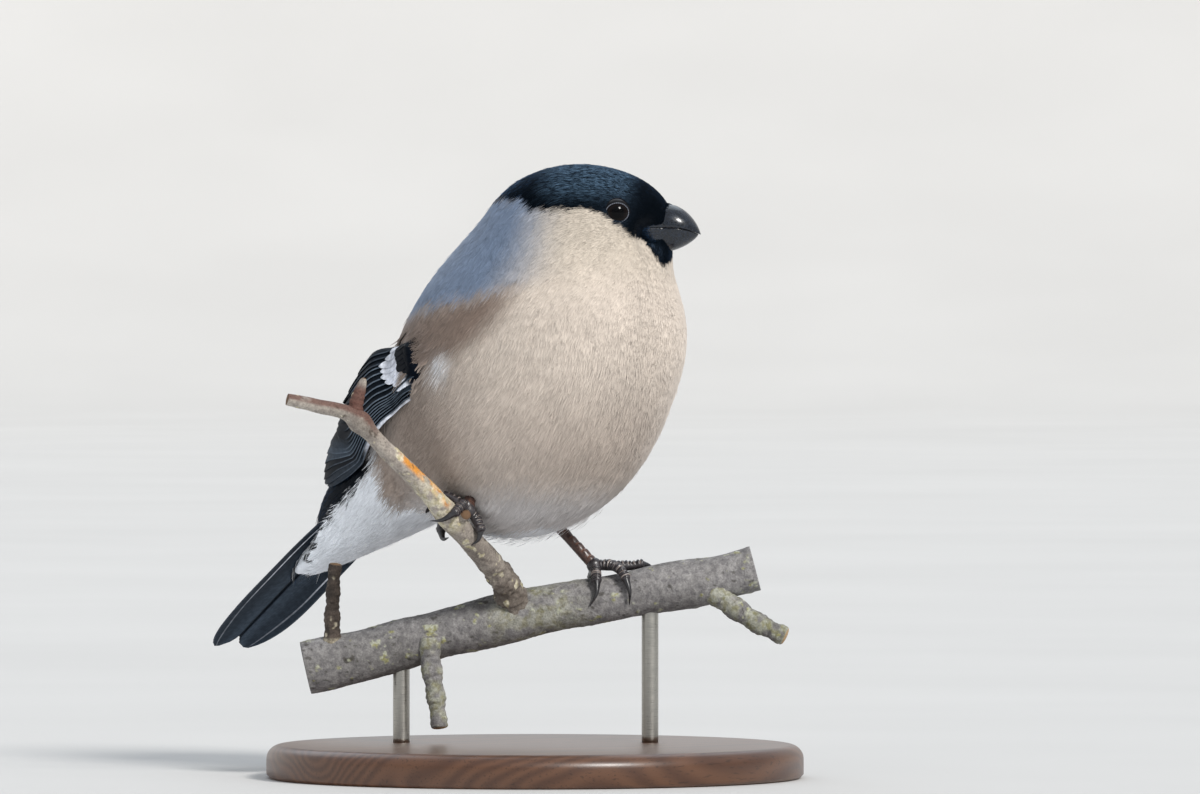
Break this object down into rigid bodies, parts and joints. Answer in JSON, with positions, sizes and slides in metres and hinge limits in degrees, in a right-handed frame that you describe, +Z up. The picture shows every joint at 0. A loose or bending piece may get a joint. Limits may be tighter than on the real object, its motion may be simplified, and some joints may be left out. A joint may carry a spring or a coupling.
{
  "type": "perched bullfinch model",
  "caption": "Life-size still model of a female bullfinch, fluffed up and perched on a short cut branch that a round display stand holds.",
  "frame": {"origin": "middle of the underside of the stand's round base", "axes": "+Z up from the surface it stands on; the bird's body faces -Y and its left side is +X"},
  "size_m": [0.1126, 0.1442, 0.1283],
  "materials": {
    "cap_plumage": "short glossy black feathers with a blue sheen",
    "grey_plumage": "soft blue-grey feathers",
    "buff_plumage": "soft greyish pink-buff feathers",
    "white_plumage": "soft white feathers",
    "flight_feather": "glossy black vanes with a blue sheen",
    "bill_horn": "polished blackish horn",
    "eye": "wet dark brown",
    "leg_skin": "dark brown scaled skin and black claws",
    "bark": "grey bark with lichen",
    "stand_wood": "dark stained wood under satin lacquer",
    "stand_rod": "dull brass"
  },
  "bodies": {
    "root": {"head": "cap_plumage", "neck": "grey_plumage", "torso": "buff_plumage", "tail_coverts": "white_plumage", "tail": "flight_feather", "wing_left": "flight_feather", "wing_right": "flight_feather", "bill_upper": "bill_horn", "bill_lower": "bill_horn", "eye_left": "eye", "eye_right": "eye", "leg_left": "leg_skin", "leg_right": "leg_skin", "foot_left": "leg_skin", "foot_right": "leg_skin", "perch_branch": "bark", "perch_twig": "bark", "perch_spur": "bark", "perch_stub_low": "bark", "perch_stub_end": "bark", "stand_base": "stand_wood", "stand_rod_rear": "stand_rod", "stand_rod_front": "stand_rod"}
  },
  "joints": []
}
